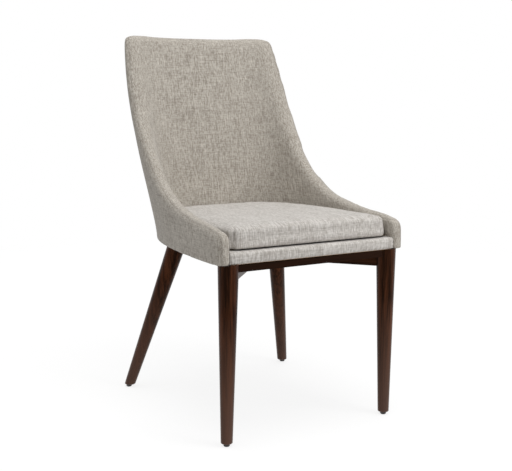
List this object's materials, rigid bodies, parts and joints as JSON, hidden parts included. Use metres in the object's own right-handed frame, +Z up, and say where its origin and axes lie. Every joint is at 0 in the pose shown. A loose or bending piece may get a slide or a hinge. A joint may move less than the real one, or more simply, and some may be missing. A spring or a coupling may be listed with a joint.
{
  "type": "upholstered side chair",
  "caption": "Upholstered side chair: shell back with low wings, fitted seat pad and round tapered dark wood legs with crossing braces under the seat.",
  "frame": {"origin": "centre of the chair's outline on the floor", "axes": "+Z up, -Y the way the chair faces, +X the sitter's left"},
  "size_m": [0.493, 0.6239, 0.9043],
  "materials": {
    "stained_wood": "satin",
    "beech": "matte",
    "plywood": "matte",
    "upholstery": "matte",
    "foam": "matte",
    "dust_cloth": "matte",
    "nylon": "satin",
    "steel": "satin"
  },
  "bodies": {
    "root": {"front_leg_left": "stained_wood", "front_leg_right": "stained_wood", "rear_leg_left": "stained_wood", "rear_leg_right": "stained_wood", "front_rail": "stained_wood", "lower_brace": "stained_wood", "upper_brace": "stained_wood", "front_glide_left": "nylon", "front_glide_right": "nylon", "rear_glide_left": "nylon", "rear_glide_right": "nylon", "glide_nails": "steel", "rail_dowels": "beech", "hanger_bolts": "steel", "tee_nuts": "steel", "brace_screws": "steel", "frame_front": "beech", "frame_rear": "beech", "frame_left": "beech", "frame_right": "beech", "frame_dowels": "beech", "corner_block_left": "beech", "corner_block_right": "beech", "shell_core": "plywood", "core_screws": "steel", "foam_outside": "foam", "foam_inside": "foam", "cover_outside": "upholstery", "cover_inside": "upholstery", "front_wadding": "foam", "front_cover": "upholstery", "seat_board": "plywood", "seat_foam": "foam", "seat_cover": "upholstery", "seat_screws": "steel", "seat_spacers": "nylon", "dust_cover": "dust_cloth", "staples": "steel"}
  },
  "joints": []
}
